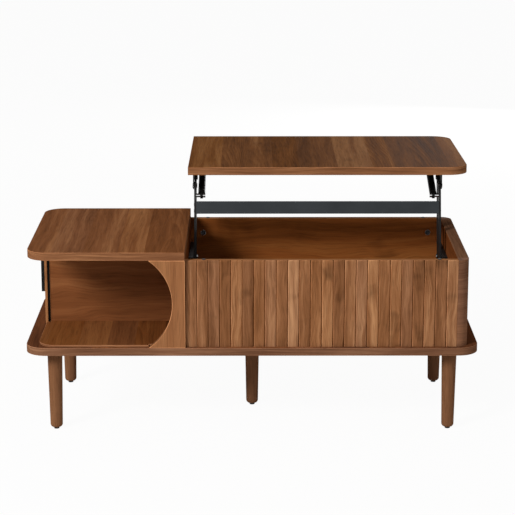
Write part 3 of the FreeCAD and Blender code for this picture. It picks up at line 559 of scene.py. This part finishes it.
def closeTree(tree, geometry, inlay=None):
    # plain mesh, smooth but for its crisp edges, with its finish, and its inlaid one if it has one
    real = addNode(tree, "GeometryNodeRealizeInstances", links={0: geometry})
    smooth = addNode(tree, "GeometryNodeSetShadeSmooth", links={0: real, "Shade Smooth": True})
    bend = addNode(tree, "GeometryNodeInputMeshEdgeAngle")
    crisp = addNode(tree, "FunctionNodeCompare", greater, {0: bend, 1: crispAngle})
    smooth = addNode(tree, "GeometryNodeSetShadeSmooth", {"domain": "EDGE"},
                     {0: smooth, 1: crisp, "Shade Smooth": False})
    sizes = tree.nodes["Group Input"].outputs
    done = addNode(tree, "GeometryNodeSetMaterial", links={0: smooth, "Material": sizes["Finish"]})
    if inlay:
        done = addNode(tree, "GeometryNodeSetMaterial",
                       links={0: done, 1: inlay, "Material": sizes["Inlay"]})
    addNode(tree, "NodeGroupOutput", links={0: done})


def grown(tree, name, places, sizes, *nodes):
    # places is a list of (point, direction the shape faces)
    host = bpy.data.meshes.new(name + "Places")
    host.from_pydata([point for point, aim in places], [], [])
    facing = host.attributes.new("facing", "FLOAT_VECTOR", "POINT")
    for index, (point, aim) in enumerate(places):
        facing.data[index].vector = aim
    piece = newPiece(name, host)
    modifier = piece.modifiers.new("grow", "NODES")
    modifier.node_group = tree
    for socket in tree.interface.items_tree:
        if socket.in_out == "INPUT" and socket.name in sizes:
            modifier[socket.identifier] = sizes[socket.name]
    piece.data = evaluatedMesh(piece)
    piece.modifiers.clear()
    for leftover in ("facing", "UVMap"):
        if leftover in piece.data.attributes:
            piece.data.attributes.remove(piece.data.attributes[leftover])
    standIn(piece, *nodes)


def islands(node):
    # the boxes of a part's separate lumps, in metres
    shape = bmesh.new()
    shape.from_mesh(frame["nodes"][node].data)
    bmesh.ops.remove_doubles(shape, verts=shape.verts, dist=dressing["weld"])
    left = set(shape.verts)
    boxes = []
    while left:
        lump = [left.pop()]
        for vert in lump:
            for edge in vert.link_edges:
                other = edge.other_vert(vert)
                if other in left:
                    left.remove(other)
                    lump.append(other)
        boxes.append([Vector(end(vert.co[axis] for vert in lump) for axis in range(3))
                      for end in (min, max)])
    shape.free()
    return sorted(boxes, key=lambda box: tuple(box[0]))


def settled(tree, geometry):
    # the shape on every place, turned to face the way the place faces
    host = tree.nodes["Group Input"].outputs["Geometry"]
    facing = addNode(tree, "GeometryNodeInputNamedAttribute", {"data_type": "FLOAT_VECTOR"},
                     {0: "facing"})
    turn = addNode(tree, "FunctionNodeAlignRotationToVector", {"axis": "Z"}, {"Vector": facing})
    return addNode(tree, "GeometryNodeInstanceOnPoints",
                   links={0: host, "Instance": geometry, "Rotation": turn})


def addCross(tree, tools, width, bar, deep):
    # two crossed bars among the tools that cut a recess
    for turned in (0, 1):
        sides = addNode(tree, "ShaderNodeCombineXYZ",
                        links={turned: width, 1 - turned: bar, 2: deep})
        block = addNode(tree, "GeometryNodeMeshCube", links={0: sides})
        tree.links.new(block.outputs[0], tools.inputs[0])


# slats: a row of chamfered sticks of solid walnut, every one cut from another place in the log
slatLow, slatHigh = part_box("front_slats")
slats = {"Count": 24, "Gap": 1.8 * mm, "Chamfer": 1.2 * mm, "Seed": 7}
slats["Pitch"] = (slatHigh.x - slatLow.x + slats["Gap"]) / slats["Count"]
slats["Depth"] = slatHigh.y - slatLow.y
slats["Height"] = slatHigh.z - slatLow.z
slats["Finish"] = walnut("solidWalnut", axes="XZY", leaf=0.0, seed=6.4, stretch=(1.0, 0.06, 1.0),
                         ringBend=4000.0, ringRun=16.0, ringContrast=0.42, leafContrast=0.3,
                         streak=0.005, streakContrast=1.3, cloud=0.05, cloudContrast=0.6,
                         wave=0.05, sway=0.2, knotDepth=0.5, wear=0.6, mirror=0.0,
                         dark="5A361D", middle="885B3C", light="B5855E")
slatHeart = 30 * mm            # how far a stick's heart can be off its middle
slatMerge = 0.01 * mm
slatLip = 0.05 * mm            # top points this near the front move back for the top chamfer
slatSlope = (-0.95, -0.3)      # a chamfer's normal lies between these, front to back

tree, size = newTree("slatRow", slats)
width = addNode(tree, "ShaderNodeMath", subtract, {0: size["Pitch"], 1: size["Gap"]})
outline = addNode(tree, "GeometryNodeCurvePrimitiveQuadrilateral",
                  links={0: width, 1: size["Depth"]})
spot = addNode(tree, "ShaderNodeSeparateXYZ", links={0: addNode(tree, "GeometryNodeInputPosition")})
front = addNode(tree, "FunctionNodeCompare", less, {0: spot.outputs["Y"], 1: 0.0})
cutBack = addNode(tree, "ShaderNodeMath", multiply, {0: front, 1: size["Chamfer"]})
outline = addNode(tree, "GeometryNodeFilletCurve", {"mode": "POLY"}, {0: outline, 1: 1, 2: cutBack})
foot = addNode(tree, "GeometryNodeFillCurve", {"mode": "NGONS"}, {0: outline})
below = addNode(tree, "GeometryNodeFlipFaces", links={0: foot})
tall = addNode(tree, "ShaderNodeMath", subtract, {0: size["Height"], 1: size["Chamfer"]})
stick = addNode(tree, "GeometryNodeExtrudeMesh",
                links={0: foot, "Offset Scale": tall, "Individual": False})
stick = addNode(tree, "GeometryNodeExtrudeMesh",
                links={0: stick, "Selection": stick.outputs["Top"],
                       "Offset Scale": size["Chamfer"], "Individual": False})
proud = addNode(tree, "ShaderNodeMath", multiplyAdd, {0: size["Depth"], 1: -0.5, 2: slatLip})
lip = addNode(tree, "FunctionNodeCompare", less, {0: spot.outputs["Y"], 1: proud})
lip = addNode(tree, "FunctionNodeBooleanMath", links={0: lip, 1: stick.outputs["Top"]})
slope = addNode(tree, "ShaderNodeCombineXYZ", links={1: size["Chamfer"]})
stick = addNode(tree, "GeometryNodeSetPosition",
                links={0: stick, "Selection": lip, "Offset": slope})
stick = addNode(tree, "GeometryNodeJoinGeometry", links={0: stick})
tree.links.new(below.outputs[0], stick.inputs[0])
stick = addNode(tree, "GeometryNodeMergeByDistance", links={0: stick, "Distance": slatMerge})
slant = addNode(tree, "ShaderNodeSeparateXYZ", links={0: addNode(tree, "GeometryNodeInputNormal")})
slanted = addNode(tree, "FunctionNodeCompare", less, {0: slant.outputs["Y"], 1: slatSlope[1]})
square = addNode(tree, "FunctionNodeCompare", greater, {0: slant.outputs["Y"], 1: slatSlope[0]})
eased = addNode(tree, "FunctionNodeBooleanMath", links={0: slanted, 1: square})
# the chamfers that face the front are marked to be drawn paler, a painted highlight
stick = addNode(tree, "GeometryNodeStoreNamedAttribute", {"domain": "FACE"},
                {0: stick, "Name": "worn", "Value": eased})
step = addNode(tree, "ShaderNodeCombineXYZ", links={0: size["Pitch"]})
row = addNode(tree, "GeometryNodeMeshLine", links={"Count": size["Count"], "Offset": step})
halfWidth = addNode(tree, "ShaderNodeMath", multiply, {0: width, 1: 0.5})
halfDepth = addNode(tree, "ShaderNodeMath", multiply, {0: size["Depth"], 1: 0.5})
corner = addNode(tree, "ShaderNodeCombineXYZ", links={0: halfWidth, 1: halfDepth})
start = addNode(tree, "GeometryNodeSampleIndex", {"data_type": "FLOAT_VECTOR"},
                {0: size["Geometry"], 1: addNode(tree, "GeometryNodeInputPosition")})
start = addNode(tree, "ShaderNodeVectorMath", links={0: start, 1: corner})
row = addNode(tree, "GeometryNodeSetPosition", links={0: row, "Offset": start})
row = addNode(tree, "GeometryNodeInstanceOnPoints", links={0: row, "Instance": stick})
order = addNode(tree, "GeometryNodeInputIndex")
chance = addNode(tree, "FunctionNodeRandomValue", {"data_type": "FLOAT"},
                 {"ID": order, "Seed": size["Seed"]})
row = addNode(tree, "GeometryNodeStoreNamedAttribute", {"domain": "INSTANCE"},
              {0: row, "Name": "cutFrom", "Value": chance.outputs[1]})
offset = addNode(tree, "FunctionNodeRandomValue", {"data_type": "FLOAT"},
                 {2: -slatHeart, 3: slatHeart, "ID": order, "Seed": size["Seed"]})
away = addNode(tree, "ShaderNodeSeparateXYZ", links={0: addNode(tree, "GeometryNodeInputPosition")})
away = addNode(tree, "ShaderNodeMath", links={0: away, 1: offset.outputs[1]})
row = addNode(tree, "GeometryNodeStoreNamedAttribute", {"domain": "INSTANCE"},
              {0: row, "Name": "heart", "Value": away})
closeTree(tree, row)
grown(tree, "frontSlats", [(slatLow, (0, 0, 1))], slats, "front_slats")
print("slats in place")


# legs: turned and tapered, the foot's edge rounded over
legNodes = [node for node in frame["nodes"]
            if node.startswith(("leg_front", "leg_rear", "leg_centre"))]
legLow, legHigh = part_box(legNodes[0])
legs = {"Length": legHigh.z - legLow.z, "Top radius": (legHigh.x - legLow.x) / 2,
        "Foot radius": 15 * mm, "Round over": 8 * mm, "Rings": 36, "Facets": 56, "Seed": 3}
legs["Finish"] = walnut("turnedWalnut", axes="XZY", leaf=0.0, seed=19.2, stretch=(1.0, 0.05, 1.0),
                        ringBend=5000.0, ringRun=10.0, ringContrast=0.15, leafContrast=0.1,
                        streakContrast=0.7, cloudContrast=0.5, mirror=0.015,
                        dark="523323", middle="775138", light="99704F")
ringCrowding = 2.4             # rings crowd towards the foot, where the edge is rounded

tree, size = newTree("turnedLeg", legs)
end = addNode(tree, "ShaderNodeCombineXYZ", links={2: size["Length"]})
line = addNode(tree, "GeometryNodeCurvePrimitiveLine", links={"End": end})
line = addNode(tree, "GeometryNodeResampleCurve", links={0: line, "Count": size["Rings"]})
share = addNode(tree, "GeometryNodeSplineParameter")
spread = addNode(tree, "ShaderNodeMath", {"operation": "POWER"}, {0: share, 1: ringCrowding})
height = addNode(tree, "ShaderNodeMath", multiply, {0: spread, 1: size["Length"]})
height = addNode(tree, "ShaderNodeCombineXYZ", links={2: height})
line = addNode(tree, "GeometryNodeSetPosition", links={0: line, "Position": height})
rise = addNode(tree, "ShaderNodeSeparateXYZ", links={0: addNode(tree, "GeometryNodeInputPosition")})
rise = rise.outputs["Z"]
taper = addNode(tree, "ShaderNodeMapRange",
                links={0: rise, 2: size["Length"], 3: size["Foot radius"], 4: size["Top radius"]})
short = addNode(tree, "ShaderNodeMath", {"operation": "SUBTRACT", "use_clamp": True},
                {0: size["Round over"], 1: rise})
square = addNode(tree, "ShaderNodeMath", multiply, {0: short, 1: short})
whole = addNode(tree, "ShaderNodeMath", multiply, {0: size["Round over"], 1: size["Round over"]})
chord = addNode(tree, "ShaderNodeMath", subtract, {0: whole, 1: square})
chord = addNode(tree, "ShaderNodeMath", {"operation": "SQRT"}, {0: chord})
inset = addNode(tree, "ShaderNodeMath", subtract, {0: size["Round over"], 1: chord})
girth = addNode(tree, "ShaderNodeMath", subtract, {0: taper, 1: inset})
ring = addNode(tree, "GeometryNodeCurvePrimitiveCircle", links={0: size["Facets"], "Radius": 1.0})
cone = addNode(tree, "GeometryNodeCurveToMesh",
               links={0: line, "Profile Curve": ring, "Scale": girth, "Fill Caps": True})
standing = addNode(tree, "GeometryNodeInstanceOnPoints",
                   links={0: size["Geometry"], "Instance": cone})
chance = addNode(tree, "FunctionNodeRandomValue", {"data_type": "FLOAT"},
                 {"ID": addNode(tree, "GeometryNodeInputIndex"), "Seed": size["Seed"]})
standing = addNode(tree, "GeometryNodeStoreNamedAttribute", {"domain": "INSTANCE"},
                   {0: standing, "Name": "cutFrom", "Value": chance.outputs[1]})
away = addNode(tree, "ShaderNodeSeparateXYZ", links={0: addNode(tree, "GeometryNodeInputPosition")})
standing = addNode(tree, "GeometryNodeStoreNamedAttribute", {"domain": "INSTANCE"},
                   {0: standing, "Name": "heart", "Value": away})
closeTree(tree, standing)
stands = []
for node in legNodes:
    low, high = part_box(node)
    stands.append((((low.x + high.x) / 2, (low.y + high.y) / 2, low.z), (0, 0, 1)))
grown(tree, "turnedLegs", stands, legs, *legNodes)
print("legs in place")


# screws: domed head with a cross recess, or flat with a hexagon socket, on a plain shank
screwSizes = {"Head radius": 4 * mm, "Head height": 2 * mm, "Dome": 0.9 * mm,
              "Recess width": 4.4 * mm, "Recess depth": 1.2 * mm, "Recess bar": 1.0 * mm,
              "Hexagon": 0, "Shank radius": 2 * mm, "Shank length": 16 * mm,
              "Finish": powderCoatedSteel}
tipShare = 0.35                # of the shank's radius, at its tip

tree, size = newTree("screw", screwSizes)
halfHeight = addNode(tree, "ShaderNodeMath", multiply, {0: size["Head height"], 1: 0.5})
head = addNode(tree, "GeometryNodeMeshCylinder",
               links={"Vertices": 32, "Side Segments": 1, "Fill Segments": 4,
                      "Radius": size["Head radius"], "Depth": size["Head height"]})
onTop = head.outputs["Top"]
flat = addNode(tree, "ShaderNodeSeparateXYZ", links={0: addNode(tree, "GeometryNodeInputPosition")})
flat = addNode(tree, "ShaderNodeCombineXYZ", links={0: flat.outputs["X"], 1: flat.outputs["Y"]})
reach = addNode(tree, "ShaderNodeVectorMath", {"operation": "LENGTH"}, {0: flat})
reach = addNode(tree, "ShaderNodeMath", {"operation": "DIVIDE"},
                {0: reach.outputs["Value"], 1: size["Head radius"]})
fall = addNode(tree, "ShaderNodeMath", {"operation": "POWER"}, {0: reach, 1: 2.0})
fall = addNode(tree, "ShaderNodeMath", multiply, {0: fall, 1: size["Dome"]})
fall = addNode(tree, "ShaderNodeMath", multiply, {0: fall, 1: -1.0})
fall = addNode(tree, "ShaderNodeCombineXYZ", links={2: fall})
head = addNode(tree, "GeometryNodeSetPosition", links={0: head, "Selection": onTop, "Offset": fall})
deep = addNode(tree, "ShaderNodeMath", multiply, {0: size["Recess depth"], 1: 2.0})
bars = addNode(tree, "GeometryNodeJoinGeometry")
addCross(tree, bars, size["Recess width"], size["Recess bar"], deep)
hexRadius = addNode(tree, "ShaderNodeMath", multiply, {0: size["Recess width"], 1: 0.5})
socket = addNode(tree, "GeometryNodeMeshCylinder",
                 {"fill_type": "NGON"}, {"Vertices": 6, "Radius": hexRadius, "Depth": deep})
tool = addNode(tree, "GeometryNodeSwitch", {"input_type": "GEOMETRY"},
               {0: size["Hexagon"], 1: bars, 2: socket})
raised = addNode(tree, "ShaderNodeCombineXYZ", links={2: halfHeight})
tool = addNode(tree, "GeometryNodeTransform", links={0: tool, "Translation": raised})
head = addNode(tree, "GeometryNodeMeshBoolean", {"operation": "DIFFERENCE", "solver": "EXACT"},
               {0: head, 1: tool, "Self Intersection": True})
head = addNode(tree, "GeometryNodeTransform", links={0: head, "Translation": raised})
tip = addNode(tree, "ShaderNodeMath", multiply, {0: size["Shank radius"], 1: tipShare})
shank = addNode(tree, "GeometryNodeMeshCone",
                links={"Vertices": 16, "Radius Top": size["Shank radius"], "Radius Bottom": tip,
                       "Depth": size["Shank length"]})
sunk = addNode(tree, "ShaderNodeMath", multiply, {0: size["Shank length"], 1: -1.0})
sunk = addNode(tree, "ShaderNodeCombineXYZ", links={2: sunk})
shank = addNode(tree, "GeometryNodeTransform", links={0: shank, "Translation": sunk})
screw = addNode(tree, "GeometryNodeJoinGeometry", links={0: head})
tree.links.new(shank.outputs[0], screw.inputs[0])
closeTree(tree, settled(tree, screw))
screwTree = tree


def headPlaces(node, seat, pick):
    # a place for each screw, on its axis and where its head sits
    places = []
    for low, high in islands(node):
        middle = (low + high) / 2
        aim = pick(middle)
        axis = max(range(3), key=lambda index: abs(aim[index]))
        end = high[axis] if aim[axis] > 0 else low[axis]
        middle[axis] = end - math.copysign(seat, aim[axis])
        places.append((middle, aim))
    return places


lidLean = math.radians(1.2)    # the raised lid isn't quite level
lidDown = (0.0, -math.sin(lidLean), -math.cos(lidLean))
betweenBrackets = 0.17         # the wall brackets' screws face each other across this plane
screwKinds = {  # what differs from the black washer-head screws, and which way the heads face
    "bracket_screws": ({}, lambda spot: (1.0 if spot.x < betweenBrackets else -1.0, 0.0, 0.0)),
    "lid_screws": ({"Finish": zincPlatedSteel}, lambda spot: lidDown),
    "handle_screws": ({"Head height": 1.2 * mm, "Dome": 0.1 * mm, "Recess depth": 0.8 * mm,
                       "Recess width": 4 * mm, "Finish": zincPlatedSteel},
                      lambda spot: (1.0, 0.0, 0.0)),
    "assembly_screws": ({"Head radius": 4.5 * mm, "Head height": 2.4 * mm, "Dome": 0.05 * mm,
                         "Hexagon": 1, "Recess width": 4.6 * mm, "Recess depth": 2.0 * mm,
                         "Shank radius": 2.5 * mm, "Shank length": 44 * mm,
                         "Finish": zincPlatedSteel},
                        lambda spot: (0.0, 0.0, -1.0)),
}
for node, (changes, pick) in screwKinds.items():
    kind = {**screwSizes, **changes}
    grown(screwTree, pieceName(node), headPlaces(node, kind["Head height"], pick), kind, node)
print("screws in place")


# cams: a die-cast disc let into the back panel, bright rim round a sunk dark face with its cross
camSizes = {"Radius": 7.5 * mm, "Depth": 10.9 * mm, "Face radius": 5.4 * mm, "Face depth": 0.9 * mm,
            "Cross width": 7.0 * mm, "Cross bar": 1.5 * mm, "Cross depth": 2.4 * mm,
            "Finish": zincPlatedSteel, "Inlay": burnishedCam}
rimLip = 0.3 * mm              # faces further below the rim than this are the dark sunk face

tree, size = newTree("camDisc", camSizes)
disc = addNode(tree, "GeometryNodeMeshCylinder", {"fill_type": "NGON"},
               {"Vertices": 48, "Radius": size["Radius"], "Depth": size["Depth"]})
deep = addNode(tree, "ShaderNodeMath", multiply, {0: size["Face depth"], 1: 2.0})
well = addNode(tree, "GeometryNodeMeshCylinder", {"fill_type": "NGON"},
               {"Vertices": 40, "Radius": size["Face radius"], "Depth": deep})
deep = addNode(tree, "ShaderNodeMath", multiply, {0: size["Cross depth"], 1: 2.0})
tools = addNode(tree, "GeometryNodeJoinGeometry", links={0: well})
addCross(tree, tools, size["Cross width"], size["Cross bar"], deep)
halfDepth = addNode(tree, "ShaderNodeMath", multiply, {0: size["Depth"], 1: 0.5})
up = addNode(tree, "ShaderNodeCombineXYZ", links={2: halfDepth})
tools = addNode(tree, "GeometryNodeTransform", links={0: tools, "Translation": up})
disc = addNode(tree, "GeometryNodeMeshBoolean", {"operation": "DIFFERENCE", "solver": "EXACT"},
               {0: disc, 1: tools, "Self Intersection": True})
spot = addNode(tree, "ShaderNodeSeparateXYZ", links={0: addNode(tree, "GeometryNodeInputPosition")})
sunkFace = addNode(tree, "ShaderNodeMath", subtract, {0: halfDepth, 1: rimLip})
level = addNode(tree, "ShaderNodeCombineXYZ", links={0: spot.outputs["X"], 1: spot.outputs["Y"]})
inner = addNode(tree, "ShaderNodeVectorMath", {"operation": "LENGTH"}, {0: level})
isSunk = addNode(tree, "FunctionNodeCompare", less, {0: spot.outputs["Z"], 1: sunkFace})
isInner = addNode(tree, "FunctionNodeCompare", less,
                  {0: inner.outputs["Value"], 1: size["Face radius"]})
dark = addNode(tree, "FunctionNodeBooleanMath", links={0: isSunk, 1: isInner})
disc = addNode(tree, "GeometryNodeStoreNamedAttribute", {"data_type": "BOOLEAN", "domain": "FACE"},
               {0: disc, "Name": "inlaid", "Value": dark})
down = addNode(tree, "ShaderNodeVectorMath", {"operation": "SCALE"}, {0: up, "Scale": -1.0})
disc = addNode(tree, "GeometryNodeTransform", links={0: disc, "Translation": down})
inlaid = addNode(tree, "GeometryNodeInputNamedAttribute", {"data_type": "BOOLEAN"}, {0: "inlaid"})
closeTree(tree, settled(tree, disc), inlaid)
grown(tree, "camLocks", headPlaces("cam_locks", 0.0, lambda spot: (0.0, -1.0, 0.0)), camSizes,
      "cam_locks")
print("cams in place")


# steel plates, arms and tubes of the lift, and the drawer's black handle
plain = {
    "front_arm_left": powderCoatedSteel, "front_arm_right": powderCoatedSteel,
    "rear_arm_left": powderCoatedSteel, "rear_arm_right": powderCoatedSteel,
    "lid_bracket_left": powderCoatedSteel, "lid_bracket_right": powderCoatedSteel,
    "wall_bracket_left": powderCoatedSteel, "wall_bracket_right": powderCoatedSteel,
    "crossbar": satinGreySteel, "crossbar_rivets": powderCoatedSteel,
    "wall_pivot_studs": zincPlatedSteel, "wall_spacers": mouldedPlastic,
    "upper_pivot_bolts": zincPlatedSteel, "upper_pivot_nuts": zincPlatedSteel,
    "upper_washers": mouldedPlastic,
    "strut_studs": chromedSteel, "strut_pins": chromedSteel, "strut_rods": chromedSteel,
    "strut_cylinders": blackLacquer, "drawer_handle": blackLacquer,
    "runner_channels": zincPlatedSteel, "runner_bars": zincPlatedSteel,
    "lid_bumpers": nitrileRubber, "foot_glides": mouldedPlastic,
    "leg_bolts": zincPlatedSteel, "leg_inserts": zincPlatedSteel, "cam_dowels": zincPlatedSteel,
    "wood_dowels": sawnBeech,
}
for node, stock in plain.items():
    dressed(node, stock, bevel=dressing["metalEase"])
print("mechanism dressed")


# drawer: walnut facing outside, plain brown-papered boards inside
paperedBoard = walnut("paperedBoard", axes="ZXY", leaf=0.0, leafContrast=0.0, ringContrast=0.0,
                      wave=0.004, streakContrast=0.4, poreDepth=0.1, seed=52.0, rough=0.6,
                      dark="694630", middle="7E553A", light="885D41")
facingVeneer = walnut("facingVeneer", **paleBrown, axes="YZX", leaf=0.0, leafContrast=0.0,
                      heart=0.08, ringContrast=0.25, seed=61.5)
dressed("drawer_facing", facingVeneer, uprightEdge, xAxis, dressing["panelEase"])
# the drawer front's edges are drawn black: painted shade in the narrow gap beside the facing
dressed("drawer_front", paperedBoard, blackLacquer, xAxis, dressing["panelEase"])
for node in ("drawer_side_front", "drawer_side_rear", "drawer_back", "drawer_bottom"):
    dressed(node, paperedBoard, bevel=dressing["panelEase"])
print("drawer dressed")

undressed = [node for node, thing in frame["nodes"].items() if not thing.hide_render]
print("left as they are:", undressed)
